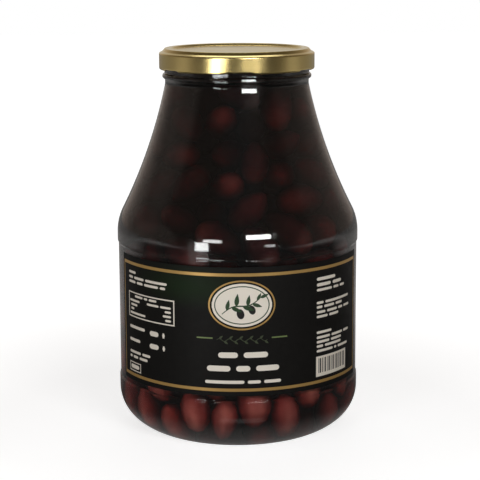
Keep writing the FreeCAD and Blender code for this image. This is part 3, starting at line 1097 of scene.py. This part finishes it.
# %% [markdown]
# ## Floor, surroundings and lamps
#
# A product table is white all round the object and keeps a soft shadow under it. That white is
# given only to the eye, so that it adds no light of its own to the jar. Metal and glass see the
# table and the room dimmer: dark in front, as in a studio behind black cloth, and paler behind.
# A fully white room would lay a grey veil over dark glass. Five lamps light the jar: two soft
# boxes and two small reflectors in front, and one high light behind. Glass shows little but what
# it reflects, so their places decide where its highlights lie.

# %% Floor
# Each row says where a change starts and ends, in metres, and the strength before and after it.
SHADOW_CLEARS = (0.15, 0.40, 0.72, 1.0)
UNDER_THE_JAR = (0.068, 0.090, 0.22, 0.06)
FROM_THE_FRONT = (-0.85, -0.50, 0.06, 0.41)
TO_THE_BACK = (0.10, 0.80, 0.41, 0.21)
FAR_OFF = (0.76, 1.1, 0.15, 1.0)
AT_THE_SIDES = (0.06, 0.30, 0.15, 1.0)
STRIP_PLACE, STRIP_HALF_DEPTH, STRIP_HALF_WIDTH, STRIP_STRENGTH = -0.100, 0.004, 0.026, 0.45
TABLE_HALF = 4.0
floor_material, tree, shader, output = new_material("white table")
tree.nodes.remove(shader)
path = add_node(tree, "LightPath").outputs
place = here(tree)
away = length(tree, place)
split = add_node(tree, "SeparateXYZ", {"Vector": place}).outputs
level = calc(tree, "MINIMUM", ease(tree, split["Y"], *FROM_THE_FRONT), ease(tree, split["Y"], *TO_THE_BACK))
reach = calc(tree, "MAXIMUM", ease(tree, away, *FAR_OFF), ease(tree, split["Y"], *AT_THE_SIDES))
level = calc(tree, "MULTIPLY", level, reach)
level = calc(tree, "MAXIMUM", ease(tree, away, *UNDER_THE_JAR), level)
strip = calc(tree, "COMPARE", split["Y"], STRIP_PLACE, STRIP_HALF_DEPTH)
strip = calc(tree, "MULTIPLY", strip, calc(tree, "COMPARE", split["X"], 0.0, STRIP_HALF_WIDTH))
level = calc(tree, "MAXIMUM", calc(tree, "MULTIPLY", strip, STRIP_STRENGTH), level)
matt = add_node(tree, "BsdfDiffuse", {"Color": (0.75, 0.75, 0.75, 1)})
glow = {"Color": WHITE, "Strength": ease(tree, away, *SHADOW_CLEARS)}
white = add_node(tree, "Emission", glow)
mirrored = add_node(tree, "Emission", {"Color": (1, 0.97, 0.94, 1), "Strength": level})
nothing = add_node(tree, "Emission", {"Strength": 0.0})
by_eye = mixed(tree, path["Is Camera Ray"], nothing.outputs["Emission"], white.outputs["Emission"])
lit = add_node(tree, "AddShader", {0: matt.outputs["BSDF"], 1: by_eye})
seen = calc(tree, "MAXIMUM", path["Is Glossy Ray"], path["Is Transmission Ray"])
surface = mixed(tree, seen, lit.outputs["Shader"], mirrored.outputs["Emission"])
feed(tree, output, {"Surface": surface})

floor_mesh = bpy.data.meshes.new("table")
corners = np.array([[-1, -1, 0], [1, -1, 0], [1, 1, 0], [-1, 1, 0]]) * TABLE_HALF
floor_mesh.from_pydata(corners.tolist(), [], [[0, 1, 2, 3]])
floor_mesh.materials.append(floor_material)
floor = bpy.data.objects.new("table", floor_mesh)
bpy.context.scene.collection.objects.link(floor)

# %% World
# A direction's y is -1 towards the camera and 1 away from it, and its x is -1 to the left.
FRONT_STRENGTH, BACK_STRENGTH, BACK_POWER = 0.07, 0.50, 5.0
LEFT_WALL, RIGHT_WALL = (-0.86, -0.92, 0.0, 0.08), (0.80, 0.90, 0.0, 0.05)
world = bpy.data.worlds.new("studio")
bpy.context.scene.world = world
world.use_nodes = True
tree = world.node_tree
back = tree.nodes["Background"]
direction = add_node(tree, "TexCoord").outputs["Generated"]
split = add_node(tree, "SeparateXYZ", {"Vector": direction}).outputs
behind = calc(tree, "POWER", ease(tree, split["Y"], -0.6, 1.0), BACK_POWER)
level = calc(tree, "MULTIPLY_ADD", behind, BACK_STRENGTH, FRONT_STRENGTH)
walls = calc(tree, "ADD", ease(tree, split["X"], *LEFT_WALL), ease(tree, split["X"], *RIGHT_WALL))
aside = ease(tree, calc(tree, "ABSOLUTE", split["X"]), 0.18, 0.45)
warmth = blended(tree, aside, (1, 0.96, 0.91, 1), (1, 0.84, 0.74, 1))
feed(tree, back, {"Color": warmth, "Strength": calc(tree, "ADD", level, walls)})
white = add_node(tree, "Background", {"Color": WHITE, "Strength": 1.0})
path = add_node(tree, "LightPath").outputs
surface = mixed(tree, path["Is Camera Ray"], back.outputs["Background"], white.outputs["Background"])
feed(tree, tree.nodes["World Output"], {"Surface": surface})
print("world", world.name, "and table,", len(floor_material.node_tree.nodes), "nodes")

# %% Lamps


def soft_box(name, azimuths, elevations, distance, radiance, aim=0.130):
    """A rectangular lamp that fills the given span of degrees, seen from the jar's shoulder.

    A flat lamp of area A and radiance L gives off pi * A * L.
    """
    azimuth, spread = math.radians(sum(azimuths) / 2), math.radians(azimuths[1] - azimuths[0])
    low, high = (math.tan(math.radians(e)) * distance for e in elevations)
    lamp = bpy.data.lights.new(name, "AREA")
    lamp.shape = "RECTANGLE"
    lamp.size = 2 * distance * math.tan(spread / 2)
    lamp.size_y = high - low
    lamp.energy = math.pi * lamp.size * lamp.size_y * radiance
    made = bpy.data.objects.new(name, lamp)
    bpy.context.scene.collection.objects.link(made)
    level = aim + (low + high) / 2
    place = Vector((math.sin(azimuth) * distance, -math.cos(azimuth) * distance, level))
    facing = Vector((place.x, place.y, 0)).to_track_quat("Z", "Y")
    made.matrix_world = Matrix.Translation(place) @ facing.to_matrix().to_4x4()
    made.visible_camera = False
    print(name, [round(v, 3) for v in place], "m,", round(lamp.energy, 1), "W")


soft_box("left soft box", (-40, -28), (-10, 5), 0.60, 9.0)
soft_box("left reflector", (-33, -17), (6, 12), 0.60, 7.0)
soft_box("right soft box", (6, 28), (13, 22), 0.55, 17.0)
soft_box("low right reflector", (22.5, 30.5), (-3.3, 1.5), 0.55, 3.7)
soft_box("high back light", (150, 210), (52, 68), 0.90, 1.5)

# %% [markdown]
# ## Camera
#
# A long lens from a little above keeps the sides of the jar nearly upright and shows the top of
# the cap as a thin oval. The camera stands a little left of the label's middle.

# %% Camera
DISTANCE, HEIGHT, AZIMUTH = 0.94143, 0.29551, -2.3
PITCH, YAW, ROLL = 10.866, 0.088, -0.244
FOCAL_LENGTH, SENSOR_WIDTH = 117.85, 36.0


def spin(degrees, axis):
    """A turn about one axis."""
    return Matrix.Rotation(math.radians(degrees), 4, axis)


lens = bpy.data.cameras.new("camera")
lens.lens, lens.sensor_width = FOCAL_LENGTH, SENSOR_WIDTH
camera = bpy.data.objects.new("camera", lens)
bpy.context.scene.collection.objects.link(camera)
level_axes = Matrix.Translation((0, -DISTANCE, HEIGHT)) @ spin(-YAW, "Z")
camera.matrix_world = spin(AZIMUTH, "Z") @ level_axes @ spin(90 - PITCH, "X") @ spin(ROLL, "Z")
bpy.context.scene.camera = camera
bpy.context.scene.view_settings.view_transform = "Standard"
